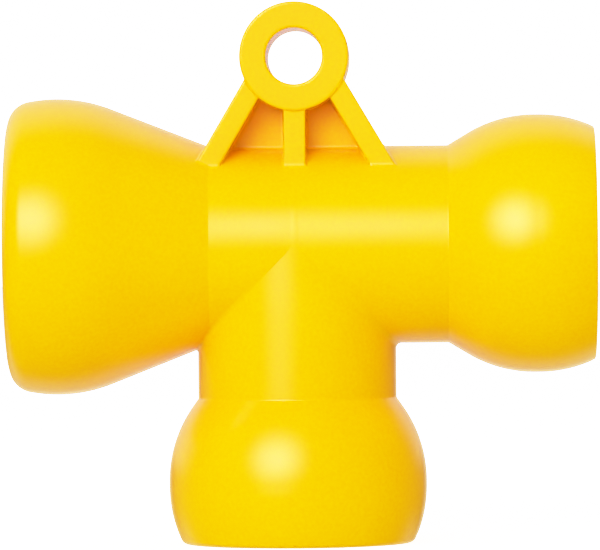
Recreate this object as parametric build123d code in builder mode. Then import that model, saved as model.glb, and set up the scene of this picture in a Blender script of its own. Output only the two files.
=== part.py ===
from build123d import *
import os
from math import acos, atan2, cos, hypot, radians, sin, sqrt, tan

os.makedirs("parts", exist_ok=True)

# Tee fitting of a ball-and-socket hose system, with a hanging eye.
# X is the run: female socket at -X, male ball at +X.  The branch points down
# (-Z) and the hanging eye stands on top (+Z).  The origin is the point where
# the axes of the run and the branch cross.  Millimetres throughout.

# ------------------------------------------------------------ dimensions
# waterway and pipes
BORE_R = 9.525            # 3/4 in nominal waterway: 19.05 mm bore
PIPE_R = 11.79            # outside of the run and of the branch

# male ball ends
BALL_R = 15.38            # sphere that seats in the next fitting's socket
BALL_LAND = 0.60          # short cylinder round the equator
RUN_BALL_C = 28.75        # crossing to centre of the run ball
BRANCH_BALL_C = 28.50     # crossing to centre of the branch ball
RUN_NECK = 18.15          # crossing to the shoulder of the run ball
BRANCH_NECK = 18.27       # crossing to the shoulder of the branch ball
RUN_END = 35.68           # crossing to end face of the run ball
BRANCH_END = 35.65        # crossing to end face of the branch ball
NECK_R = 0.40             # fillet where pipe and ball meet
MOUTH_R = 11.90           # inside of the ball at its end face
FLARE_IN = 11.70          # depth of the flared mouth
RUN_EDGE_R = 0.30         # round on the outer edge of the run ball's end
BRANCH_EDGE_R = 0.90      # round on the outer edge of the branch ball's end
MOUTH_EDGE_R = 0.40       # round on the inner edge of both mouths

# female socket
SOCKET_C = 28.60          # crossing to centre of the seat
SEAT_R = 15.44            # spherical seat, 0.06 mm larger than the ball
SOCKET_R = 17.66          # outside of the socket's sphere
SOCKET_FACE = 34.34       # crossing to the open face
SOCKET_EDGE_R = 2.85      # large round on the rim's outside
SOCKET_LIP_R = 0.35       # round on the rim's inside
FLARE_ANGLE = 21.46       # half angle of the outer cone
FLARE_R = 1.00            # fillet where cone and pipe meet
SEAT_END = 18.00          # crossing to the inner end of the seat
THROAT_END = 16.90        # crossing to where the throat reaches the bore

# spigot joints: each end slips over a spigot on the tee body
SPIGOT_R = 10.65
CBORE_R = 10.70           # counterbore, 0.05 mm bonding gap all round
SPIGOT_L = 4.00           # spigots at the two balls
SOCKET_SPIGOT_L = 3.45    # spigot at the socket
END_GAP = 0.10            # room for adhesive past each spigot
SOCKET_SEAM = 12.40       # crossing to the joint with the socket

# hanging eye
EYE_Z = 22.43             # height of the eye above the run's axis
EYE_R = 6.48
EYE_HOLE_R = 3.35
EYE_HALF = 7.50           # half of the eye's length along Y
EYE_EDGE_R = 0.25
LEG_ANGLE = 30.5          # splay of each leg from the vertical
LEG_T = 2.57
LEG_OFFSET = 2.41         # leg's centreline to the centre of the eye
LEG_HALF = 7.20           # half depth of legs and rib along Y
RIB_T = 2.62
WEB_T = 5.00
TENON_L = 10.0            # locating tenon under the web
TENON_T = 1.80
TENON_TOP = 11.0
TENON_BOTTOM = 10.60
SLOT_GAP = 0.05

# ------------------------------------------------------------ derived
A = radians(FLARE_ANGLE)
CONE_0 = SOCKET_R / cos(A)            # cone radius above the seat's centre


def cone_r(t):
    """Radius of the flare's cone at distance t from the crossing."""
    return CONE_0 - (SOCKET_C - t) * tan(A)


CREASE = SOCKET_C - (CONE_0 - PIPE_R) / tan(A)      # cone meets pipe
FLARE_T = FLARE_R * tan(A / 2)                      # fillet's tangent length
CONE_T = SOCKET_C - SOCKET_R * sin(A)               # cone touches sphere


def neck(c, shoulder):
    """Neck of a ball: a short cone that leaves the pipe at the shoulder and
    touches the ball.  Gives its angle, the fillet's two ends and the point of
    contact, as (along, radius)."""
    s = c - BALL_LAND / 2
    reach = s - shoulder
    b = atan2(reach, PIPE_R) - acos(BALL_R / hypot(reach, PIPE_R))
    t = NECK_R * tan(b / 2)
    return (b, (shoulder - t, PIPE_R), (shoulder + t * cos(b), PIPE_R + t * sin(b)),
            (s - BALL_R * sin(b), BALL_R * cos(b)))


RUN_SEAM = neck(RUN_BALL_C, RUN_NECK)[1][0]
BRANCH_SEAM = neck(BRANCH_BALL_C, BRANCH_NECK)[1][0]


def between(p, q, centre, radius):
    """Point half way along the arc from p to q."""
    mx = (p[0] + q[0]) / 2 - centre[0]
    my = (p[1] + q[1]) / 2 - centre[1]
    n = sqrt(mx * mx + my * my)
    return (centre[0] + mx / n * radius, centre[1] + my / n * radius)


def ball_outline(c, shoulder, end, place):
    """Half section of a ball end; place() turns (along, radius) into x, y."""
    _, start, leave, touch = neck(c, shoulder)
    seam = start[0]
    near, far = c - BALL_LAND / 2, c + BALL_LAND / 2
    end_r = sqrt(BALL_R ** 2 - (end - far) ** 2)

    def arc(p, q, centre, radius):
        m = between(p, q, centre, radius)
        ThreePointArc(place(*p), place(*m), place(*q))

    def line(*pts):
        Polyline(*[place(*p) for p in pts])

    arc(start, leave, (seam, PIPE_R + NECK_R), NECK_R)
    line(leave, touch)
    arc(touch, (near, BALL_R), (near, 0), BALL_R)
    line((near, BALL_R), (far, BALL_R))
    arc((far, BALL_R), (end, end_r), (far, 0), BALL_R)
    line(
        (end, end_r),
        (end, MOUTH_R),
        (end - FLARE_IN, BORE_R),
        (seam + SPIGOT_L + END_GAP, BORE_R),
        (seam + SPIGOT_L + END_GAP, CBORE_R),
        (seam, CBORE_R),
        start,
    )


# ------------------------------------------------------------ inlet socket
# Bell-shaped female end: spherical seat, short throat and a counterbore that
# slips over the tee body's spigot.
face_fillet_x = SOCKET_FACE - SOCKET_EDGE_R
face_fillet_r = sqrt((SOCKET_R - SOCKET_EDGE_R) ** 2 - (face_fillet_x - SOCKET_C) ** 2)
kf = SOCKET_R / (SOCKET_R - SOCKET_EDGE_R)
rim_on_sphere = (SOCKET_C + (face_fillet_x - SOCKET_C) * kf, face_fillet_r * kf)
seat_face_r = sqrt(SEAT_R ** 2 - (SOCKET_FACE - SOCKET_C) ** 2)
seat_end_r = sqrt(SEAT_R ** 2 - (SOCKET_C - SEAT_END) ** 2)

with BuildPart() as inlet_socket:
    with BuildSketch(Plane.XZ):
        with BuildLine():
            def at(t, r):
                return (-t, r)

            def socket_arc(p, q, centre, radius):
                m = between(p, q, centre, radius)
                ThreePointArc(at(*p), at(*m), at(*q))

            Polyline(at(SOCKET_SEAM, CBORE_R), at(SOCKET_SEAM, cone_r(SOCKET_SEAM)),
                     at(CONE_T, SOCKET_R * cos(A)))
            socket_arc((CONE_T, SOCKET_R * cos(A)), (SOCKET_C, SOCKET_R), (SOCKET_C, 0), SOCKET_R)
            socket_arc((SOCKET_C, SOCKET_R), rim_on_sphere, (SOCKET_C, 0), SOCKET_R)
            socket_arc(rim_on_sphere, (SOCKET_FACE, face_fillet_r),
                       (face_fillet_x, face_fillet_r), SOCKET_EDGE_R)
            Polyline(at(SOCKET_FACE, face_fillet_r), at(SOCKET_FACE, seat_face_r))
            socket_arc((SOCKET_FACE, seat_face_r), (SOCKET_C, SEAT_R), (SOCKET_C, 0), SEAT_R)
            socket_arc((SOCKET_C, SEAT_R), (SEAT_END, seat_end_r), (SOCKET_C, 0), SEAT_R)
            Polyline(at(SEAT_END, seat_end_r), at(THROAT_END, BORE_R),
                     at(SOCKET_SEAM + SOCKET_SPIGOT_L + END_GAP, BORE_R),
                     at(SOCKET_SEAM + SOCKET_SPIGOT_L + END_GAP, CBORE_R),
                     at(SOCKET_SEAM, CBORE_R))
        make_face()
    revolve(axis=Axis.X)
    lip = (inlet_socket.edges().filter_by(GeomType.CIRCLE)
           .group_by(Axis.X)[0].sort_by(SortBy.RADIUS)[0])
    fillet(lip, SOCKET_LIP_R)
inlet_socket.part.label = "inlet_socket"

# ------------------------------------------------------------ run ball end
with BuildPart() as run_ball_end:
    with BuildSketch(Plane.XZ):
        with BuildLine():
            ball_outline(RUN_BALL_C, RUN_NECK, RUN_END, lambda t, r: (t, r))
        make_face()
    revolve(axis=Axis.X)
    rims = (run_ball_end.edges().filter_by(GeomType.CIRCLE)
            .group_by(Axis.X)[-1].sort_by(SortBy.RADIUS))
    fillet(rims[-1], RUN_EDGE_R)
    rims = (run_ball_end.edges().filter_by(GeomType.CIRCLE)
            .group_by(Axis.X)[-1].sort_by(SortBy.RADIUS))
    fillet(rims[0], MOUTH_EDGE_R)
run_ball_end.part.label = "run_ball_end"

# ------------------------------------------------------------ branch ball end
with BuildPart() as branch_ball_end:
    with BuildSketch(Plane.XZ):
        with BuildLine():
            ball_outline(BRANCH_BALL_C, BRANCH_NECK, BRANCH_END, lambda t, r: (r, -t))
        make_face()
    revolve(axis=Axis.Z)
    rims = (branch_ball_end.edges().filter_by(GeomType.CIRCLE)
            .group_by(Axis.Z)[0].sort_by(SortBy.RADIUS))
    fillet(rims[-1], BRANCH_EDGE_R)
    rims = (branch_ball_end.edges().filter_by(GeomType.CIRCLE)
            .group_by(Axis.Z)[0].sort_by(SortBy.RADIUS))
    fillet(rims[0], MOUTH_EDGE_R)
branch_ball_end.part.label = "branch_ball_end"

# ------------------------------------------------------------ tee body
# Run pipe with a short conical collar at the socket's end, branch pipe of the
# same size, and a spigot at each of the three ends.
fillet_a = (CREASE - FLARE_T, PIPE_R)
fillet_b = (CREASE + FLARE_T * cos(A), PIPE_R + FLARE_T * sin(A))

with BuildPart() as tee_body:
    with BuildSketch(Plane.XZ):
        with BuildLine():
            m = between(fillet_a, fillet_b, (fillet_a[0], PIPE_R + FLARE_R), FLARE_R)
            ThreePointArc((-fillet_b[0], fillet_b[1]), (-m[0], m[1]), (-fillet_a[0], fillet_a[1]))
            Polyline((-fillet_a[0], fillet_a[1]),
                     (RUN_SEAM, PIPE_R),
                     (RUN_SEAM, SPIGOT_R),
                     (RUN_SEAM + SPIGOT_L, SPIGOT_R),
                     (RUN_SEAM + SPIGOT_L, 0),
                     (-SOCKET_SEAM - SOCKET_SPIGOT_L, 0),
                     (-SOCKET_SEAM - SOCKET_SPIGOT_L, SPIGOT_R),
                     (-SOCKET_SEAM, SPIGOT_R),
                     (-SOCKET_SEAM, cone_r(SOCKET_SEAM)),
                     (-fillet_b[0], fillet_b[1]))
        make_face()
    revolve(axis=Axis.X)
    with BuildSketch(Plane.XY):
        Circle(PIPE_R)
    extrude(amount=-BRANCH_SEAM)
    with BuildSketch(Plane.XY.offset(-BRANCH_SEAM)):
        Circle(SPIGOT_R)
    extrude(amount=-SPIGOT_L)
    # waterway
    with BuildSketch(Plane.YZ):
        Circle(BORE_R)
    extrude(amount=60, both=True, mode=Mode.SUBTRACT)
    with BuildSketch(Plane.XY):
        Circle(BORE_R)
    extrude(amount=-60, mode=Mode.SUBTRACT)
    # blind slot for the hanger's tenon
    with BuildSketch(Plane.XY.offset(TENON_BOTTOM - SLOT_GAP)):
        Rectangle(TENON_L + 2 * SLOT_GAP, TENON_T + 2 * SLOT_GAP)
    extrude(amount=5, mode=Mode.SUBTRACT)
tee_body.part.label = "tee_body"

# ------------------------------------------------------------ hanger bracket
# Eye, two splayed legs, centre rib and a web on the mid plane, sitting on the
# top of the run pipe with a tenon in the tee body's slot.
L = radians(LEG_ANGLE)


def leg_point(offset, z, side):
    """Point of the line at this offset from the eye's centre, at height z."""
    down = (EYE_Z + offset * sin(L) - z) / cos(L)
    return (side * (offset * cos(L) + down * sin(L)), z)


def leg_outline(side):
    inner, outer = LEG_OFFSET - LEG_T / 2, LEG_OFFSET + LEG_T / 2
    return [leg_point(inner, 5.0, side), leg_point(outer, 5.0, side),
            leg_point(outer, EYE_Z + 1.0, side), leg_point(inner, EYE_Z - 2.0, side)]


with BuildPart() as hanger_bracket:
    with BuildSketch(Plane.XZ):
        for side in (-1, 1):
            with BuildLine():
                Polyline(*leg_outline(side), close=True)
            make_face()
        with Locations((0, (5.0 + EYE_Z - 4.5) / 2)):
            Rectangle(RIB_T, EYE_Z - 4.5 - 5.0)
    extrude(amount=LEG_HALF, both=True)
    with BuildSketch(Plane.XZ):
        with BuildLine():
            Polyline(leg_point(LEG_OFFSET, 5.0, -1), leg_point(LEG_OFFSET, EYE_Z - 3.0, -1),
                     leg_point(LEG_OFFSET, EYE_Z - 3.0, 1), leg_point(LEG_OFFSET, 5.0, 1),
                     close=True)
        make_face()
    extrude(amount=WEB_T / 2, both=True)
    # saddle: everything inside the pipe and the collar goes
    with BuildSketch(Plane.XZ):
        with BuildLine():
            m = between(fillet_a, fillet_b, (fillet_a[0], PIPE_R + FLARE_R), FLARE_R)
            ThreePointArc((-fillet_b[0], fillet_b[1]), (-m[0], m[1]), (-fillet_a[0], fillet_a[1]))
            Polyline((-fillet_a[0], fillet_a[1]), (30, PIPE_R), (30, 0), (-25, 0),
                     (-25, cone_r(25)), (-fillet_b[0], fillet_b[1]))
        make_face()
    revolve(axis=Axis.X, mode=Mode.SUBTRACT)
    # eye
    with BuildSketch(Plane.XZ):
        with Locations((0, EYE_Z)):
            Circle(EYE_R)
    extrude(amount=EYE_HALF, both=True)
    with BuildSketch(Plane.XZ):
        with Locations((0, EYE_Z)):
            Circle(EYE_HOLE_R)
    extrude(amount=EYE_HALF + 1, both=True, mode=Mode.SUBTRACT)
    rims = hanger_bracket.edges().filter_by(GeomType.CIRCLE).group_by(Axis.Y)
    fillet(rims[0] + rims[-1], EYE_EDGE_R)
    # tenon
    with BuildSketch(Plane.XY.offset(TENON_BOTTOM)):
        Rectangle(TENON_L, TENON_T)
    extrude(amount=PIPE_R + 0.4 - TENON_BOTTOM)
hanger_bracket.part.label = "hanger_bracket"

# ------------------------------------------------------------ write
for piece in (tee_body, inlet_socket, run_ball_end, branch_ball_end, hanger_bracket):
    export_step(piece.part, "parts/" + piece.part.label + ".step")
    b = piece.part.bounding_box()
    print(piece.part.label, "solids", len(piece.part.solids()),
          "volume", round(piece.part.volume, 2), "valid", piece.part.is_valid,
          "box", [round(v, 2) for v in (b.min.X, b.min.Y, b.min.Z, b.max.X, b.max.Y, b.max.Z)])
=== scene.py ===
import math

import bpy
import numpy as np
from mathutils import Matrix, Vector


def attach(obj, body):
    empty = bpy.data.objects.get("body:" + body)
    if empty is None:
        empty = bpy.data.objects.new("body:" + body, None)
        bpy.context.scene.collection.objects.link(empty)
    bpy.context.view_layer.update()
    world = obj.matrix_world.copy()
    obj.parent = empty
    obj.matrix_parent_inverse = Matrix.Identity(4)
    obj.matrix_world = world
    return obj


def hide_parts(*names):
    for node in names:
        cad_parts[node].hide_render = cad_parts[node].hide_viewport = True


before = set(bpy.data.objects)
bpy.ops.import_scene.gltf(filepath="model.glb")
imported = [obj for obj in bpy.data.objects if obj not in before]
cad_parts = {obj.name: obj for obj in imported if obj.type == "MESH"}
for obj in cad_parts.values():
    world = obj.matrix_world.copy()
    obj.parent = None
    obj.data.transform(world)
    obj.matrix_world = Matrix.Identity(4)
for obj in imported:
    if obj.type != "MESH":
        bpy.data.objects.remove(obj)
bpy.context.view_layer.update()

# ---------------------------------------------------------------- sizes, mm
# The same sizes as the CAD model's.  The run is a hair slimmer than the branch,
# which is what leaves the fine witness lines at the crossing.
BORE_R = 9.525
RUN_R = 11.76
BRANCH_R = 11.82          # at the foot; it tapers to the crossing, as a drafted moulding does
BRANCH_TOP_R = 11.768
BALL_R, LAND = 15.38, 0.60
RUN_C, BRANCH_C = 28.75, 28.50
RUN_NECK, BRANCH_NECK = 18.15, 18.27
RUN_END, BRANCH_END = 35.68, 35.65
NECK_R = 0.40
MOUTH_R, FLARE_IN = 11.90, 11.70
RUN_EDGE_R, BRANCH_EDGE_R, MOUTH_EDGE_R = 0.30, 0.90, 0.40
SOCKET_C, SEAT_R, SOCKET_R, SOCKET_FACE = 28.60, 15.44, 17.66, 34.34
SOCKET_EDGE_R, SOCKET_LIP_R = 2.85, 0.35
FLARE = math.radians(21.46)
FLARE_R = 0.60
SEAT_END, THROAT_END = 18.00, 16.90
SPIGOT_R, CBORE_R, SPIGOT_L, SOCKET_SPIGOT_L, END_GAP, SOCKET_SEAM = 10.65, 10.70, 4.00, 3.45, 0.10, 12.40
EYE_Z, EYE_R, HOLE_R, EYE_HALF = 22.43, 6.48, 3.35, 7.50
LEG_ANGLE, LEG_T, LEG_OFFSET, LEG_HALF = math.radians(30.5), 2.57, 2.41, 7.20
RIB_T, WEB_T = 2.62, 5.00
RIDGE = 0.030          # height of the parting line on the plane Y = 0

CONE_0 = SOCKET_R / math.cos(FLARE)


def cone_r(t):
    return CONE_0 - (SOCKET_C - t) * math.tan(FLARE)


CREASE = SOCKET_C - (CONE_0 - RUN_R) / math.tan(FLARE)
CONE_T = SOCKET_C - SOCKET_R * math.sin(FLARE)
FLARE_T = FLARE_R * math.tan(FLARE / 2)


# ---------------------------------------------------------------- helpers
def neck(c, shoulder, pipe):
    s = c - LAND / 2
    reach = s - shoulder
    b = math.atan2(reach, pipe) - math.acos(BALL_R / math.hypot(reach, pipe))
    t = NECK_R * math.tan(b / 2)
    return b, (shoulder - t, pipe), (shoulder + t * math.cos(b), pipe + t * math.sin(b)), (
        s - BALL_R * math.sin(b), BALL_R * math.cos(b))


RUN_SEAM = neck(RUN_C, RUN_NECK, RUN_R)[1][0]
BRANCH_SEAM = neck(BRANCH_C, BRANCH_NECK, BRANCH_R)[1][0]


class Outline:
    """Closed half section as (along, radius) points, with a normal at each end of each segment, so that rounds run
    smoothly into flats and real corners stay sharp."""

    def __init__(self):
        self.p, self.seg = [], []

    def _add(self, pts, normals):
        for i in range(len(pts) - 1):
            self.seg.append((pts[i], pts[i + 1], normals[i], normals[i + 1]))

    def line(self, a, b, n=1, grade=None):
        a, b = np.array(a, float), np.array(b, float)
        d = (b - a) / np.linalg.norm(b - a)
        k = np.linspace(0, 1, n + 1)
        if grade:      # finer at both ends
            k = 0.5 - 0.5 * np.cos(np.pi * k)
        pts = [a + (b - a) * x for x in k]
        self._add(pts, [np.array([-d[1], d[0]])] * len(pts))

    def arc(self, a, b, centre, step=5.0, out=1):
        """Arc from a to b round the centre, turning less than half a turn.  out is 1 where the material's inside is
        towards the centre, and -1 on a hollow."""
        a, b, c = np.array(a, float), np.array(b, float), np.array(centre, float)
        r = np.linalg.norm(a - c)
        t0, t1 = math.atan2(a[1] - c[1], a[0] - c[0]), math.atan2(b[1] - c[1], b[0] - c[0])
        d = (t1 - t0 + math.pi) % (2 * math.pi) - math.pi
        n = max(3, int(math.ceil(abs(math.degrees(d)) / step)))
        ts = [t0 + d * i / n for i in range(n + 1)]
        pts = [c + r * np.array([math.cos(t), math.sin(t)]) for t in ts]
        pts[0], pts[-1] = a, b
        self._add(pts, [out * np.array([math.cos(t), math.sin(t)]) for t in ts])


def rounded(p0, p1, p2, r):
    """Fillet of radius r in the corner p1 between straight lines to p0 and p2: start, end, centre."""
    p0, p1, p2 = (np.array(p, float) for p in (p0, p1, p2))
    u, v = (p0 - p1) / np.linalg.norm(p0 - p1), (p2 - p1) / np.linalg.norm(p2 - p1)
    half = math.acos(np.clip(u @ v, -1, 1)) / 2
    t = r / math.tan(half)
    w = (u + v) / np.linalg.norm(u + v)
    return p1 + u * t, p1 + v * t, p1 + w * r / math.sin(half)


def turn_angles(n):
    """Angles of a lathe's columns, with extra ones at the parting line, how far each stands proud (0 to 1), and the
    slope of that height.  Angles 0 and pi lie on the plane Y = 0."""
    fine = [(0.0045, 0.75), (0.0090, 0.20), (0.0150, 0.0)]      # radians either side of the line
    out = []
    for i in range(n):
        a = 2 * math.pi * i / n
        near = min(a, abs(a - math.pi), 2 * math.pi - a)
        if near > 0.02 or near < 1e-9:
            out.append((a, 1.0 if near < 1e-9 else 0.0))
    for c in (0.0, math.pi):
        for f, h in fine:
            out += [((c + f) % (2 * math.pi), h), ((c - f) % (2 * math.pi), h)]
    out.sort()
    a, h = np.array([x for x, _ in out]), np.array([x for _, x in out])
    gap = np.diff(np.append(a, a[0] + 2 * math.pi))
    rise = (np.append(h[1:], h[0]) - h) / gap
    return a, h, 0.5 * (rise + np.roll(rise, 1))


def volume(verts, faces):
    v = np.asarray(verts)
    f = np.asarray(faces)
    tri = np.concatenate([f[:, [0, 1, 2]], f[:, [0, 2, 3]]])
    a, b, c = v[tri[:, 0]], v[tri[:, 1]], v[tri[:, 2]]
    return float(np.einsum("ij,ij->i", a, np.cross(b, c)).sum() / 6)


def make_object(name, verts, faces, normals):
    """Mesh object in metres from vertices in mm, quads, and one normal for each corner of each quad."""
    verts, faces = np.asarray(verts, float), np.asarray(faces, int)
    normals = np.asarray(normals, float).reshape(len(faces), 4, 3)
    if volume(verts, faces) < 0:
        faces, normals = faces[:, ::-1], normals[:, ::-1]
    mesh = bpy.data.meshes.new(name)
    mesh.from_pydata((verts * 0.001).tolist(), [], faces.tolist())
    mesh.update()
    mesh.polygons.foreach_set("use_smooth", [True] * len(mesh.polygons))
    normals = normals.reshape(-1, 3)
    normals = normals / np.maximum(np.linalg.norm(normals, axis=1), 1e-12)[:, None]
    mesh.normals_split_custom_set(normals.tolist())
    obj = bpy.data.objects.new(name, mesh)
    bpy.context.scene.collection.objects.link(obj)
    return obj


AXES = {"X": ((1, 0, 0), (0, 0, 1), (0, 1, 0)),      # along, towards angle 0, towards a quarter turn
        "-X": ((-1, 0, 0), (0, 0, 1), (0, 1, 0)),
        "-Z": ((0, 0, -1), (1, 0, 0), (0, 1, 0))}


def lathe(name, outline, axis, n=256, ridge=None):
    """Turns a closed outline.  ridge(along, radius) is the share of the parting line's height at a point."""
    along, zero, quarter = (np.array(v, float) for v in AXES[axis])
    ang, high, slope = turn_angles(n)
    radial = np.cos(ang)[:, None] * zero + np.sin(ang)[:, None] * quarter       # k,3
    sideways = -np.sin(ang)[:, None] * zero + np.cos(ang)[:, None] * quarter
    p = np.array([g[0] for g in outline.seg])
    nor = np.array([g[2] for g in outline.seg])
    end = np.array([g[3] for g in outline.seg])
    lift = np.array([ridge(*q) if ridge else 0.0 for q in p]) * RIDGE
    t = p[:, 0][:, None] + nor[:, 0][:, None] * lift[:, None] * high
    r = p[:, 1][:, None] + nor[:, 1][:, None] * lift[:, None] * high
    verts = t[..., None] * along + r[..., None] * radial[None]
    tilt = lift[:, None] * slope[None] / p[:, 1][:, None]

    def facing(nn, tt):
        return nn[:, 0][:, None, None] * along + nn[:, 1][:, None, None] * radial[None] - tt[..., None] * sideways[None]

    n0, n1 = facing(nor, tilt), facing(end, np.roll(tilt, -1, 0))
    m, k = len(p), len(ang)
    i, j = np.meshgrid(np.arange(m), np.arange(k), indexing="ij")
    i2, j2 = (i + 1) % m, (j + 1) % k
    faces = np.stack([i * k + j, i * k + j2, i2 * k + j2, i2 * k + j], -1).reshape(-1, 4)
    normals = np.stack([n0[i, j], n0[i, j2], n1[i, j2], n1[i, j]], -2).reshape(-1, 4, 3)
    return make_object(name, verts.reshape(-1, 3), faces, normals)


# ---------------------------------------------------------------- ball ends
def ball_end(name, axis, c, shoulder, end, pipe, edge_r):
    b, start, leave, touch = neck(c, shoulder, pipe)
    seam, near, far = start[0], c - LAND / 2, c + LAND / 2
    o = Outline()
    o.arc(start, leave, (seam, pipe + NECK_R), 3.0, -1)
    o.line(leave, touch, 6)
    o.arc(touch, (near, BALL_R), (near, 0), 1.5)
    o.line((near, BALL_R), (far, BALL_R), 2)
    # round between the ball and the end face, then the flat ring, the mouth's round and the flare
    x = end - edge_r
    y = math.sqrt((BALL_R - edge_r) ** 2 - (x - far) ** 2)
    k = BALL_R / (BALL_R - edge_r)
    on_ball = (far + (x - far) * k, y * k)
    o.arc((far, BALL_R), on_ball, (far, 0), 1.5)
    o.arc(on_ball, (end, y), (x, y), 5.0)
    m0, m1, mc = rounded((end, y), (end, MOUTH_R), (end - FLARE_IN, BORE_R), MOUTH_EDGE_R)
    o.line((end, y), m0, 2)
    o.arc(m0, m1, mc, 6.0)
    f0, f1, fc = rounded(m1, (end - FLARE_IN, BORE_R), (seam, BORE_R), 3.0)
    o.line(m1, f0, 10)
    o.arc(f0, f1, fc, 2.0)
    deep = seam + SPIGOT_L + END_GAP
    o.line(f1, (deep, BORE_R), 3)
    o.line((deep, BORE_R), (deep, CBORE_R), 1)
    o.line((deep, CBORE_R), (seam, CBORE_R), 4)
    o.line((seam, CBORE_R), start, 1)

    def ridge(t, r):
        return 1.0 if t < end - edge_r - 0.2 and r > pipe - 0.01 else 0.0
    return lathe(name, o, axis, 256, ridge)


run_ball = ball_end("run_ball_end_visual", "X", RUN_C, RUN_NECK, RUN_END, RUN_R, RUN_EDGE_R)
branch_ball = ball_end("branch_ball_end_visual", "-Z", BRANCH_C, BRANCH_NECK, BRANCH_END, BRANCH_R, BRANCH_EDGE_R)

# ---------------------------------------------------------------- socket
o = Outline()
touch = (CONE_T, SOCKET_R * math.cos(FLARE))
x = SOCKET_FACE - SOCKET_EDGE_R
y = math.sqrt((SOCKET_R - SOCKET_EDGE_R) ** 2 - (x - SOCKET_C) ** 2)
k = SOCKET_R / (SOCKET_R - SOCKET_EDGE_R)
on_sphere = (SOCKET_C + (x - SOCKET_C) * k, y * k)
o.line((SOCKET_SEAM, cone_r(SOCKET_SEAM)), touch, 12)
o.arc(touch, on_sphere, (SOCKET_C, 0), 1.5)
o.arc(on_sphere, (SOCKET_FACE, y), (x, y), 3.0)
# round at the lip: it touches the face and the inside of the seat's sphere
lx = SOCKET_FACE - SOCKET_LIP_R
ly = math.sqrt((SEAT_R + SOCKET_LIP_R) ** 2 - (lx - SOCKET_C) ** 2)
k = SEAT_R / (SEAT_R + SOCKET_LIP_R)
lip = (SOCKET_C + (lx - SOCKET_C) * k, ly * k)
o.line((SOCKET_FACE, y), (SOCKET_FACE, ly), 1)
o.arc((SOCKET_FACE, ly), lip, (lx, ly), 6.0)
seat_end = (SEAT_END, math.sqrt(SEAT_R ** 2 - (SOCKET_C - SEAT_END) ** 2))
o.arc(lip, seat_end, (SOCKET_C, 0), 1.5, -1)
t0, t1, tc = rounded(seat_end, (THROAT_END, BORE_R), (SOCKET_SEAM, BORE_R), 0.5)
o.line(seat_end, t0, 2)
o.arc(t0, t1, tc, 6.0)
deep = SOCKET_SEAM + SOCKET_SPIGOT_L + END_GAP
o.line(t1, (deep, BORE_R), 2)
o.line((deep, BORE_R), (deep, CBORE_R), 1)
o.line((deep, CBORE_R), (SOCKET_SEAM, CBORE_R), 3)
o.line((SOCKET_SEAM, CBORE_R), (SOCKET_SEAM, cone_r(SOCKET_SEAM)), 1)


def socket_ridge(t, r):
    on_cone = t < CONE_T + 0.01 and r > cone_r(t) - 0.01
    return 1.0 if on_cone or (r > 16.2 and t < SOCKET_FACE - 1.0) else 0.0


socket = lathe("inlet_socket_visual", o, "-X", 256, socket_ridge)


# ---------------------------------------------------------------- tee body
def run_profile(x):
    """Radius of the run and its collar at x, and its slope."""
    x = np.asarray(x, float)
    r, s = np.full_like(x, RUN_R), np.zeros_like(x)
    x0, x1 = -CREASE + FLARE_T, -CREASE - FLARE_T * math.cos(FLARE)
    arc = (x < x0) & (x > x1)
    h = np.sqrt(np.maximum(FLARE_R ** 2 - (x - x0) ** 2, 1e-12))
    r, s = np.where(arc, RUN_R + FLARE_R - h, r), np.where(arc, (x - x0) / h, s)
    cone = x <= x1
    return np.where(cone, cone_r(-x), r), np.where(cone, -math.tan(FLARE), s)


def d_run(p):
    r, s = run_profile(p[..., 0])
    return (np.hypot(p[..., 1], p[..., 2]) - r) / np.sqrt(1 + s * s)


def smooth(x, a, b):
    t = np.clip((x - a) / (b - a), 0, 1)
    return t * t * (3 - 2 * t)


def d_branch(p):
    radius = BRANCH_TOP_R + (BRANCH_R - BRANCH_TOP_R) * smooth(-p[..., 2], 1.0, 9.0)
    return np.sqrt(p[..., 0] ** 2 + p[..., 1] ** 2 + np.maximum(p[..., 2], 0) ** 2) - radius


def corner_radius(p):
    """Radius of the fillet where the branch leaves the run: small, and nothing at the crossing."""
    x = p[..., 0]
    return np.where(x < 0, 0.40, 0.70) * smooth(np.abs(x), 2.0, 9.0) + 1e-6


def round_union(a, b, r):
    u, v = np.maximum(r - a, 0), np.maximum(r - b, 0)
    return np.maximum(r, np.minimum(a, b)) - np.hypot(u, v)


def round_both(a, b, r):
    """What two fields share, with an edge of radius r."""
    u, v = np.maximum(r + a, 0), np.maximum(r + b, 0)
    return np.minimum(-r, np.maximum(a, b)) + np.hypot(u, v)


def tee_field(p):
    return round_union(d_run(p), d_branch(p), corner_radius(p))


def gradient(f, p, e=1e-4):
    g = np.zeros_like(p)
    for i in range(3):
        d = np.zeros(3)
        d[i] = e
        g[..., i] = (f(p + d) - f(p - d)) / (2 * e)
    return g


def settle(f, p, steps=5, limit=0.25):
    """Moves points onto the surface f = 0."""
    for _ in range(steps):
        g = gradient(f, p)
        d = f(p) / np.maximum((g * g).sum(-1), 1e-9)
        p = p - g * np.clip(d, -limit, limit)[..., None]
    return p


def spread(a, b, count, spacing):
    """count + 1 places from a to b, as dense as spacing(x) asks."""
    x = np.linspace(a, b, 600)
    w = 1 / spacing(x)
    c = np.concatenate([[0], np.cumsum(0.5 * (w[1:] + w[:-1]))])
    return np.interp(np.linspace(0, c[-1], count + 1), c, x)


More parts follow.
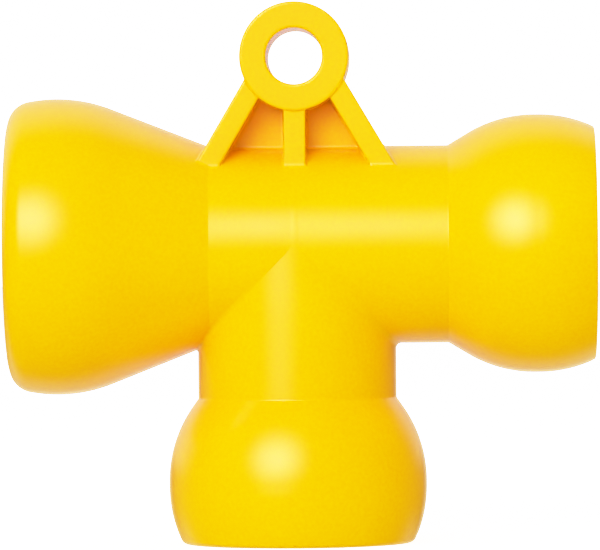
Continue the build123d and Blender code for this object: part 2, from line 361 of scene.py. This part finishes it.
class Tee:
    """Grid of a run and a branch that leaves it downwards.  Vertices along each line where the two meet are shared."""

    def __init__(self, run, branch_r, left, right, bottom, collar):
        ang, high, slope = turn_angles(256)
        self.ang, self.slope = ang, slope
        k = len(ang)
        up = np.cos(ang) > -1e-9
        gap = math.sqrt(branch_r ** 2 - float(run(np.array(0.0))) ** 2)
        self.v, self.proud, self.lean = [], [], []
        self.faces, self.tags = [], []
        sin, cos = np.sin(ang), np.cos(ang)

        def meet(j, sign):
            if up[j]:
                return gap
            lo, hi = 0.0, 12.39
            for _ in range(60):
                mid = 0.5 * (lo + hi)
                inside = mid ** 2 + (float(run(np.array(sign * mid))) * sin[j]) ** 2 < branch_r ** 2
                lo, hi = (mid, hi) if inside else (lo, mid)
            return 0.5 * (lo + hi)

        def add(x, r, j, h=None, s=None):
            self.v.append((x, r * sin[j], r * cos[j]))
            self.proud.append(high[j] if h is None else h)
            self.lean.append((0.0, cos[j], -sin[j], slope[j] / max(r, 1)))
            return len(self.v) - 1

        n_left, n_right, n_down, n_top = 40, 22, 22, 6
        lefts, rights = [], []
        for j in range(k):
            c = meet(j, -1)
            near = (lambda x, c=c: np.minimum(np.minimum(0.07 + 0.30 * np.abs(x + c),
                    0.07 + 0.5 * np.maximum(np.abs(x + CREASE) - 0.22, 0) if collar else 9.0), 1.0))
            lefts.append([add(x, float(run(np.array(x))), j) for x in spread(left, -c, n_left, near)])
        for j in range(k):
            c = meet(j, 1)
            near = (lambda x, c=c: np.minimum(0.07 + 0.30 * np.abs(x - c), 1.0))
            rights.append([add(x, float(run(np.array(x))), j) for x in spread(c, right, n_right, near)])
        tops = {}
        for j in range(k):
            if up[j]:
                row = [lefts[j][-1]]
                for x in np.linspace(-gap, gap, n_top + 1)[1:-1]:
                    row.append(add(x, math.sqrt(branch_r ** 2 - x * x), j))
                tops[j] = row + [rights[j][0]]
        for j in range(k):
            j2 = (j + 1) % k
            for cols, tag in ((lefts, 0), (rights, 0), (tops, 1)):
                if cols is tops and not (j in tops and j2 in tops):
                    continue
                a, b = cols[j], cols[j2]
                for i in range(len(a) - 1):
                    self.faces.append((a[i], a[i + 1], b[i + 1], b[i]))
                    self.tags.append(tag)
        # columns of the branch, round from +X by +Y
        q1 = int(np.argmin(np.abs(ang - math.pi / 2)))
        q3 = int(np.argmin(np.abs(ang - 3 * math.pi / 2)))
        mid = int(np.argmin(np.abs(ang - math.pi)))
        heads = [rights[j][0] for j in range(mid, q1, -1)]
        heads += tops[q1][::-1]
        heads += [lefts[j][-1] for j in range(q1 + 1, mid + 1)]
        heads += [lefts[j][-1] for j in range(mid + 1, q3)]
        heads += tops[q3]
        heads += [rights[j][0] for j in range(q3 - 1, mid, -1)]
        downs = []
        for h in heads:
            x, y, z = self.v[h]
            near = (lambda t, z=z: np.minimum(0.07 + 0.30 * np.abs(t - z), 1.0))
            zs = spread(z, -bottom, n_down, near)
            r = math.hypot(x, y)
            col = [h]
            lean = self.lean[h]
            # on the branch the parting line leans the other way round, by the same slope
            turn = (-y / r, x / r, 0.0, abs(lean[3]) * (1 if y * x < 0 else -1) if self.proud[h] > 0 or lean[3] else 0.0)
            for t in zs[1:]:
                self.v.append((x, y, t))
                self.proud.append(self.proud[h])
                self.lean.append(turn)
                col.append(len(self.v) - 1)
            downs.append(col)
        for j in range(len(downs)):
            a, b = downs[j], downs[(j + 1) % len(downs)]
            for i in range(n_down):
                self.faces.append((a[i], a[i + 1], b[i + 1], b[i]))
                self.tags.append(2)
        self.crease = {c[-1] for c in lefts} | {c[0] for c in rights}
        self.left = [c[0] for c in lefts]
        self.right = [c[-1] for c in rights]
        self.down = [c[-1] for c in downs]
        self.v = np.array(self.v, float)
        self.proud, self.lean = np.array(self.proud), np.array(self.lean)


outer = Tee(lambda x: run_profile(x)[0], BRANCH_TOP_R, -SOCKET_SEAM, RUN_SEAM, BRANCH_SEAM, True)
inner = Tee(lambda x: np.full_like(np.asarray(x, float), BORE_R), BORE_R + 0.005,
            -SOCKET_SEAM - SOCKET_SPIGOT_L, RUN_SEAM + SPIGOT_L, BRANCH_SEAM + SPIGOT_L, False)

v = settle(tee_field, outer.v)
# the three ends stay flat
v[outer.left, 0], v[outer.right, 0], v[outer.down, 2] = -SOCKET_SEAM, RUN_SEAM, -BRANCH_SEAM
n_all = gradient(tee_field, v)
n_all /= np.linalg.norm(n_all, axis=1)[:, None]
n_run, n_branch = gradient(d_run, v), gradient(d_branch, v)
n_run /= np.linalg.norm(n_run, axis=1)[:, None]
n_branch /= np.linalg.norm(n_branch, axis=1)[:, None]
turning = np.arccos(np.clip((n_run * n_branch).sum(1), -1, 1))
width = corner_radius(v) * np.tan(turning / 2)          # how far the fillet reaches
mix = np.clip(width / 0.12, 0, 1)[:, None]
v = v + n_all * (outer.proud * RIDGE)[:, None]
lean = outer.lean[:, :3] * (outer.lean[:, 3] * RIDGE)[:, None]

verts, faces, normals = [v], [], []
for f, tag in zip(outer.faces, outer.tags):
    own = n_run if tag == 0 else n_branch
    faces.append(f)
    for i in f:
        base = n_all[i] if i not in outer.crease else own[i] * (1 - mix[i]) + n_all[i] * mix[i]
        normals.append(base - lean[i])
count = len(v)
iv = inner.v
own_run = -np.stack([np.zeros(len(iv)), iv[:, 1], iv[:, 2]], 1)
own_down = -np.stack([iv[:, 0], iv[:, 1], np.maximum(iv[:, 2], 0)], 1)
verts.append(iv)
for f, tag in zip(inner.faces, inner.tags):
    faces.append(tuple(i + count for i in reversed(f)))
    own = own_run if tag == 0 else own_down
    for i in reversed(f):
        normals.append(own[i] / np.linalg.norm(own[i]))
count += len(iv)


def ring(ids, axis, place, radius):
    """New ring of vertices of that radius, in the directions of the ones given."""
    global count
    base = np.concatenate(verts)[ids]
    u = base.copy()
    u[:, axis] = 0
    u = u / np.linalg.norm(u, axis=1)[:, None] * radius
    u[:, axis] = place
    verts.append(u)
    got = list(range(count, count + len(ids)))
    count += len(ids)
    return got


def band(a, b, na, nb):
    """Quads between two rings, with the normals na and nb, one for each vertex or one for all."""
    k = len(a)
    for i in range(k):
        j = (i + 1) % k
        faces.append((a[i], a[j], b[j], b[i]))
        for ns, t in ((na, i), (na, j), (nb, j), (nb, i)):
            normals.append(ns[t] if len(np.shape(ns)) > 1 else ns)


def spigot(out_ids, in_ids, axis, sign, seam, tip):
    a = out_ids
    r0 = ring(a, axis, seam, SPIGOT_R)
    r1 = ring(a, axis, tip, SPIGOT_R - 0.25)
    r1b = ring(a, axis, tip - sign * 0.25, SPIGOT_R)
    face = [0.0, 0.0, 0.0]
    face[axis] = float(sign)
    allv = np.concatenate(verts)
    u = allv[r0].copy()
    u[:, axis] = 0
    u /= np.linalg.norm(u, axis=1)[:, None]
    slant = (u + np.array(face)) / math.sqrt(2)
    band(a, r0, face, face)
    band(r0, r1b, u, u)
    band(r1b, r1, slant, slant)
    band(r1, [i for i in in_ids], face, face)


def wind(ids, reverse):
    return ids[::-1] if reverse else ids


base = len(outer.v)
spigot(outer.left, [i + base for i in inner.left], 0, -1, -SOCKET_SEAM, -SOCKET_SEAM - SOCKET_SPIGOT_L)
mark_left = len(faces)
spigot(outer.right[::-1], [i + base for i in inner.right][::-1], 0, 1, RUN_SEAM, RUN_SEAM + SPIGOT_L)
spigot(outer.down[::-1], [i + base for i in inner.down][::-1], 2, -1, -BRANCH_SEAM, -BRANCH_SEAM - SPIGOT_L)
tee = make_object("tee_body_visual", np.concatenate(verts), faces, normals)


# ---------------------------------------------------------------- hanging eye
def plate(flat, y, half, edge):
    """A flat shape of signed distance `flat`, as thick as 2 * half along Y, with rounded edges."""
    a, b = flat + edge, np.abs(y) - half + edge
    return np.minimum(np.maximum(a, b), 0) + np.hypot(np.maximum(a, 0), np.maximum(b, 0)) - edge


def hanger_field(p):
    x, y, z = p[..., 0], p[..., 1], p[..., 2]
    w = z - EYE_Z
    line = RIDGE * np.exp(-(y / 0.09) ** 2)
    legs = []
    for side in (-1, 1):
        across = x * side * math.cos(LEG_ANGLE) + w * math.sin(LEG_ANGLE) - LEG_OFFSET
        down = x * side * math.sin(LEG_ANGLE) - w * math.cos(LEG_ANGLE)
        legs.append((across, np.maximum(np.abs(across) - LEG_T / 2 - line * (across > 0), -down)))
    arms = np.minimum(plate(legs[0][1], y, LEG_HALF, 0.18), plate(legs[1][1], y, LEG_HALF, 0.18))
    rib = plate(np.maximum(np.abs(x) - RIB_T / 2, w + 4.0), y, LEG_HALF, 0.18)
    web = plate(np.maximum(np.maximum(legs[0][0], legs[1][0]), w + 3.0), y, WEB_T / 2, 0.0)
    q = np.hypot(x, w)
    eye = plate(q - EYE_R - line, y, EYE_HALF, 0.25)
    d = round_union(np.minimum(arms, rib), web, 0.30)
    d = round_union(d, eye, 0.12)
    hole = HOLE_R - q + 0.5 * line
    d = round_both(d, hole, 0.25)
    r, s = run_profile(x)
    pipe = (np.hypot(y, z) - r + 0.01) / np.sqrt(1 + s * s)
    foot = round_union(d, pipe, 0.33)
    return round_both(round_both(foot, d - 0.50, 0.10), -(pipe + 0.35), 0.10)


def net(field, xs, ys, zs):
    """Surface net of field = 0 on a grid of unevenly spaced places: vertices and quads that face out."""
    grid = np.stack(np.meshgrid(xs, ys, zs, indexing="ij"), -1)
    f = field(grid)
    inside = f < 0
    shape = tuple(n - 1 for n in f.shape)
    total, hits = np.zeros(shape + (3,)), np.zeros(shape)
    quads = []
    cross = []
    for axis in range(3):
        a = [slice(None)] * 3
        b = [slice(None)] * 3
        a[axis], b[axis] = slice(0, -1), slice(1, None)
        a, b = tuple(a), tuple(b)
        change = inside[a] != inside[b]
        t = np.where(change, f[a] / np.where(change, f[a] - f[b], 1), 0)
        at = grid[a] + (grid[b] - grid[a]) * t[..., None]
        cross.append((change, inside[a]))
        o = [k for k in range(3) if k != axis]
        for i in (0, 1):
            for j in (0, 1):
                s = [slice(None)] * 3
                s[axis] = slice(None)
                s[o[0]] = slice(0, -1) if i == 0 else slice(1, None)
                s[o[1]] = slice(0, -1) if j == 0 else slice(1, None)
                s = tuple(s)
                total += at[s] * change[s][..., None]
                hits += change[s]
    used = hits > 0
    ids = np.full(shape, -1)
    ids[used] = np.arange(used.sum())
    points = total[used] / hits[used][:, None]
    for axis in range(3):
        change, first = cross[axis]
        o = [(axis + 1) % 3, (axis + 2) % 3]
        s = [slice(None)] * 3
        s[o[0]], s[o[1]] = slice(1, -1), slice(1, -1)
        change, first = change[tuple(s)], first[tuple(s)]

        def cell(i, j):
            s = [slice(None)] * 3
            s[o[0]] = slice(0, -1) if i == 0 else slice(1, None)
            s[o[1]] = slice(0, -1) if j == 0 else slice(1, None)
            return ids[tuple(s)]
        q = np.stack([cell(0, 0), cell(1, 0), cell(1, 1), cell(0, 1)], -1)
        quads.append(q[change & first])
        quads.append(q[change & ~first][:, ::-1])
    return points, np.concatenate(quads)


step = 0.168
xs = np.arange(-13.6, 13.6 + step, step)
zs = np.arange(7.9, 29.4 + step, step)
fine = np.array([0.0, 0.04, 0.08, 0.12, 0.17, 0.24])
ys = np.concatenate([fine, np.arange(0.24 + step, 8.3 + step, step)])
ys = np.concatenate([-ys[:0:-1], ys])
hv, hf = net(hanger_field, xs, ys, zs)
hv = settle(hanger_field, hv, 6, 0.08)
hn = gradient(hanger_field, hv)
hn /= np.maximum(np.linalg.norm(hn, axis=1), 1e-9)[:, None]
hanger = make_object("hanger_bracket_visual", hv, hf, hn[hf])

pieces = {"tee_body": tee, "inlet_socket": socket, "run_ball_end": run_ball, "branch_ball_end": branch_ball,
          "hanger_bracket": hanger}
for node, piece in pieces.items():
    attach(piece, "root")
    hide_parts(node)
# ---------------------------------------------------------------- plastic
def plastic():
    mat = bpy.data.materials.new("yellow_plastic")
    mat.use_nodes = True
    nt = mat.node_tree
    nt.nodes.clear()
    out = nt.nodes.new("ShaderNodeOutputMaterial")
    bsdf = nt.nodes.new("ShaderNodeBsdfPrincipled")
    nt.links.new(bsdf.outputs[0], out.inputs[0])
    bsdf.inputs["IOR"].default_value = 1.48
    bsdf.inputs["Subsurface Weight"].default_value = 0.0
    coord = nt.nodes.new("ShaderNodeTexCoord")

    def noise(scale, detail, rough=0.5):
        n = nt.nodes.new("ShaderNodeTexNoise")
        n.inputs["Scale"].default_value = scale
        n.inputs["Detail"].default_value = detail
        n.inputs["Roughness"].default_value = rough
        nt.links.new(coord.outputs["Object"], n.inputs["Vector"])
        return n

    def ranged(src, lo, hi, a, b):
        m = nt.nodes.new("ShaderNodeMapRange")
        m.inputs["From Min"].default_value, m.inputs["From Max"].default_value = lo, hi
        m.inputs["To Min"].default_value, m.inputs["To Max"].default_value = a, b
        nt.links.new(src, m.inputs["Value"])
        return m.outputs["Result"]

    cloud = noise(45.0, 3.0)          # slow drift of the pigment
    grain = noise(2400.0, 2.0)        # fine moulded grain
    blend = nt.nodes.new("ShaderNodeMix")
    blend.data_type = "FLOAT"
    blend.inputs["Factor"].default_value = 0.55
    nt.links.new(ranged(cloud.outputs["Fac"], 0.3, 0.7, 0, 1), blend.inputs["A"])
    nt.links.new(ranged(grain.outputs["Fac"], 0.3, 0.7, 0, 1), blend.inputs["B"])
    ramp = nt.nodes.new("ShaderNodeMix")
    ramp.data_type = "RGBA"
    ramp.inputs["A"].default_value = (0.930, 0.438, 0.0, 1)
    ramp.inputs["B"].default_value = (0.985, 0.520, 0.0, 1)
    nt.links.new(blend.outputs["Result"], ramp.inputs["Factor"])
    nt.links.new(ramp.outputs["Result"], bsdf.inputs["Base Color"])
    patch = noise(160.0, 3.0)         # polish varies a little
    nt.links.new(ranged(patch.outputs["Fac"], 0.3, 0.7, 0.21, 0.26), bsdf.inputs["Roughness"])
    bump = nt.nodes.new("ShaderNodeBump")
    bump.inputs["Strength"].default_value = 0.3
    bump.inputs["Distance"].default_value = 0.00002
    nt.links.new(grain.outputs["Fac"], bump.inputs["Height"])
    nt.links.new(bump.outputs["Normal"], bsdf.inputs["Normal"])
    return mat


yellow = plastic()
for piece in pieces.values():
    piece.data.materials.append(yellow)

# ---------------------------------------------------------------- camera
scene = bpy.context.scene
DIST, PITCH, ROLL, YAW = 0.740, math.radians(0.5), math.radians(-0.47), math.radians(-1.0)
SHIFT_X, SHIFT_Z, PX_PER_MM = -0.44, 3.585, 8.355
turn = Matrix.Rotation(PITCH, 3, "X") @ Matrix.Rotation(ROLL, 3, "Y") @ Matrix.Rotation(YAW, 3, "Z")
back = turn.transposed()
cam_data = bpy.data.cameras.new("camera")
cam = bpy.data.objects.new("camera", cam_data)
scene.collection.objects.link(cam)
right, up, look = back @ Vector((1, 0, 0)), back @ Vector((0, 0, 1)), back @ Vector((0, 1, 0))
place = back @ Vector((-SHIFT_X * 0.001, -DIST, -SHIFT_Z * 0.001))
cam.matrix_world = Matrix((
    (right.x, up.x, -look.x, place.x),
    (right.y, up.y, -look.y, place.y),
    (right.z, up.z, -look.z, place.z),
    (0, 0, 0, 1)))
cam_data.sensor_fit = "HORIZONTAL"
cam_data.sensor_width = 36.0
cam_data.lens = PX_PER_MM * DIST * 1000 / 600 * 36
cam_data.clip_start, cam_data.clip_end = 0.05, 20
scene.camera = cam

# ---------------------------------------------------------------- stage and light
floor_z = -BRANCH_END * 0.001
mesh = bpy.data.meshes.new("floor")
mesh.from_pydata([(-3, -3, floor_z), (3, -3, floor_z), (3, 3, floor_z), (-3, 3, floor_z)], [], [(0, 1, 2, 3)])
floor = bpy.data.objects.new("floor", mesh)
scene.collection.objects.link(floor)
fm = bpy.data.materials.new("floor")
fm.use_nodes = True
fb = fm.node_tree.nodes["Principled BSDF"]
fb.inputs["Base Color"].default_value = (0.92, 0.92, 0.92, 1)
fb.inputs["Roughness"].default_value = 0.9
fb.inputs["Specular IOR Level"].default_value = 0.1
fb.inputs["Emission Color"].default_value = (1, 1, 1, 1)
fb.inputs["Emission Strength"].default_value = 1.12
mesh.materials.append(fm)
floor.visible_glossy = False
floor.visible_diffuse = False
floor.visible_shadow = False


def softbox(name, azimuth, elevation, distance, width, height, power, glossy=True, diffuse=True):
    data = bpy.data.lights.new(name, "AREA")
    data.shape, data.size, data.size_y, data.energy = "RECTANGLE", width, height, power
    data.color = (1.0, 1.0, 1.0)
    data.cycles.use_multiple_importance_sampling = False
    obj = bpy.data.objects.new(name, data)
    a, e = math.radians(azimuth), math.radians(elevation)
    d = Vector((math.sin(a) * math.cos(e), -math.cos(a) * math.cos(e), math.sin(e)))
    obj.location = d * distance
    obj.rotation_mode = "QUATERNION"
    obj.rotation_quaternion = d.to_track_quat("Z", "Y")
    scene.collection.objects.link(obj)
    obj.visible_camera = False
    obj.visible_glossy = glossy
    obj.visible_diffuse = diffuse
    return obj


softbox("key", -18, 21.5, 1.2, 0.70, 0.60, 11.4, glossy=False)
# soft fill: five sides of a 3 m white room, each panel's brightness
for name, azimuth, elevation, bright in (
        ("fill_front", 0, 0, 0.67), ("fill_left", -90, 0, 0.98), ("fill_right", 90, 0, 1.02),
        ("fill_above", 0, 89.99, 0.90), ("fill_below", 0, -89.99, 1.15)):
    softbox(name, azimuth, elevation, 1.5, 3.0, 3.0, bright * math.pi * 9.0, glossy=False)

# The plastic mirrors a soft round of the key light, a dark front and a white
# back at the rims.
world = bpy.data.worlds.new("world")
scene.world = world
world.use_nodes = True
world.cycles.sampling_method = "NONE"
wn = world.node_tree
wn.nodes.clear()


def world_node(kind, **values):
    node = wn.nodes.new(kind)
    for key, value in values.items():
        setattr(node, key, value)
    return node


def world_value(value):
    """A socket to read a number or another node's output from."""
    if isinstance(value, (int, float)):
        node = world_node("ShaderNodeValue")
        node.outputs[0].default_value = value
        return node.outputs[0]
    return value


def world_math(operation, *values):
    node = world_node("ShaderNodeMath", operation=operation)
    for socket, value in zip(node.inputs, values):
        wn.links.new(world_value(value), socket)
    return node.outputs[0]


def world_dot(direction):
    node = world_node("ShaderNodeVectorMath", operation="DOT_PRODUCT")
    wn.links.new(wcoord.outputs["Generated"], node.inputs[0])
    node.inputs[1].default_value = direction
    return node.outputs["Value"]


def world_ramp(value, start, end, first, last, kind="LINEAR"):
    node = world_node("ShaderNodeMapRange", interpolation_type=kind)
    for name, number in (("From Min", start), ("From Max", end), ("To Min", first), ("To Max", last)):
        node.inputs[name].default_value = number
    wn.links.new(value, node.inputs["Value"])
    return node.outputs["Result"]


def world_step(value, start, end, first, last):
    return world_ramp(value, start, end, first, last, "SMOOTHSTEP")


def world_patch(azimuth, elevation, across, upright, strength):
    """A soft round light, its reach in degrees each way."""
    a, e = math.radians(azimuth), math.radians(elevation)
    d = Vector((math.sin(a) * math.cos(e), -math.cos(a) * math.cos(e), math.sin(e)))
    side = d.cross(Vector((0, 0, 1))).normalized()
    over = side.cross(d)
    ahead = world_dot(d)
    front = world_math("GREATER_THAN", ahead, 0.05)
    safe = world_math("MAXIMUM", ahead, 0.05)
    x = world_math("ABSOLUTE", world_math("DIVIDE", world_dot(side), safe))
    y = world_math("ABSOLUTE", world_math("DIVIDE", world_dot(over), safe))
    x = world_math("DIVIDE", x, math.tan(math.radians(across)))
    y = world_math("DIVIDE", y, math.tan(math.radians(upright)))
    reach = world_math("SQRT", world_math("ADD", world_math("MULTIPLY", x, x), world_math("MULTIPLY", y, y)))
    glow = world_step(reach, 0.0, 1.0, 1.0, 0.0)
    return world_math("MULTIPLY", glow, world_math("MULTIPLY", front, strength))


wpath = world_node("ShaderNodeLightPath")
wcoord = world_node("ShaderNodeTexCoord")
# behind: a bright wall above the horizon, a paler table below, a dim line between
wheight = world_dot((0, 0, 1))
wwall = world_math("MULTIPLY", world_step(world_dot((-0.15, 1, 0.35)), 0.52, 0.86, 0.0, 0.90),
                   world_math("MAXIMUM", world_step(wheight, -0.02, 0.11, 0.10, 1.0),
                              world_step(world_dot((0, 1, 0)), 0.90, 0.98, 0.0, 1.0)))
wtable = world_math("MULTIPLY", world_step(world_dot((0, 1, 0)), 0.52, 0.76, 0.0, 0.58),
                    world_step(wheight, -0.36, -0.14, 1.0, 0.0))
wback = world_math("ADD", wwall, wtable)
wpatch = world_patch(-19.0, 21.5, 28.5, 27, 13.0)
wseen = world_node("ShaderNodeMix", data_type="FLOAT")
wseen.inputs["B"].default_value = 2.0
wn.links.new(wpath.outputs["Is Camera Ray"], wseen.inputs["Factor"])
wlit = world_node("ShaderNodeMix", data_type="FLOAT")
wn.links.new(wpath.outputs["Is Glossy Ray"], wlit.inputs["Factor"])
wn.links.new(world_step(world_dot((0, 1, 0)), 0.45, 0.80, 0.0, 1.05), wlit.inputs["A"])
wn.links.new(world_math("ADD", wback, wpatch), wlit.inputs["B"])
wn.links.new(wlit.outputs["Result"], wseen.inputs["A"])
wbg = world_node("ShaderNodeBackground")
wbg.inputs["Color"].default_value = (1, 1, 1, 1)
wout = world_node("ShaderNodeOutputWorld")
wn.links.new(wseen.outputs["Result"], wbg.inputs["Strength"])
wn.links.new(wbg.outputs[0], wout.inputs[0])

scene.view_settings.view_transform = "Standard"
scene.view_settings.look = "None"
scene.view_settings.use_curve_mapping = True
scene.cycles.film_exposure = 0.5      # the curve reads from 0 to 1, so white is 2
curves = scene.view_settings.curve_mapping
shoulder = curves.curves[3]
for x, y in ((0.175, 0.35), (0.35, 0.70), (0.4, 0.768), (0.45, 0.825), (0.5, 0.868),
             (0.6, 0.93), (0.7, 0.968), (0.85, 0.992)):
    shoulder.points.new(x, y)
for point in shoulder.points:
    point.handle_type = "AUTO_CLAMPED"
curves.update()
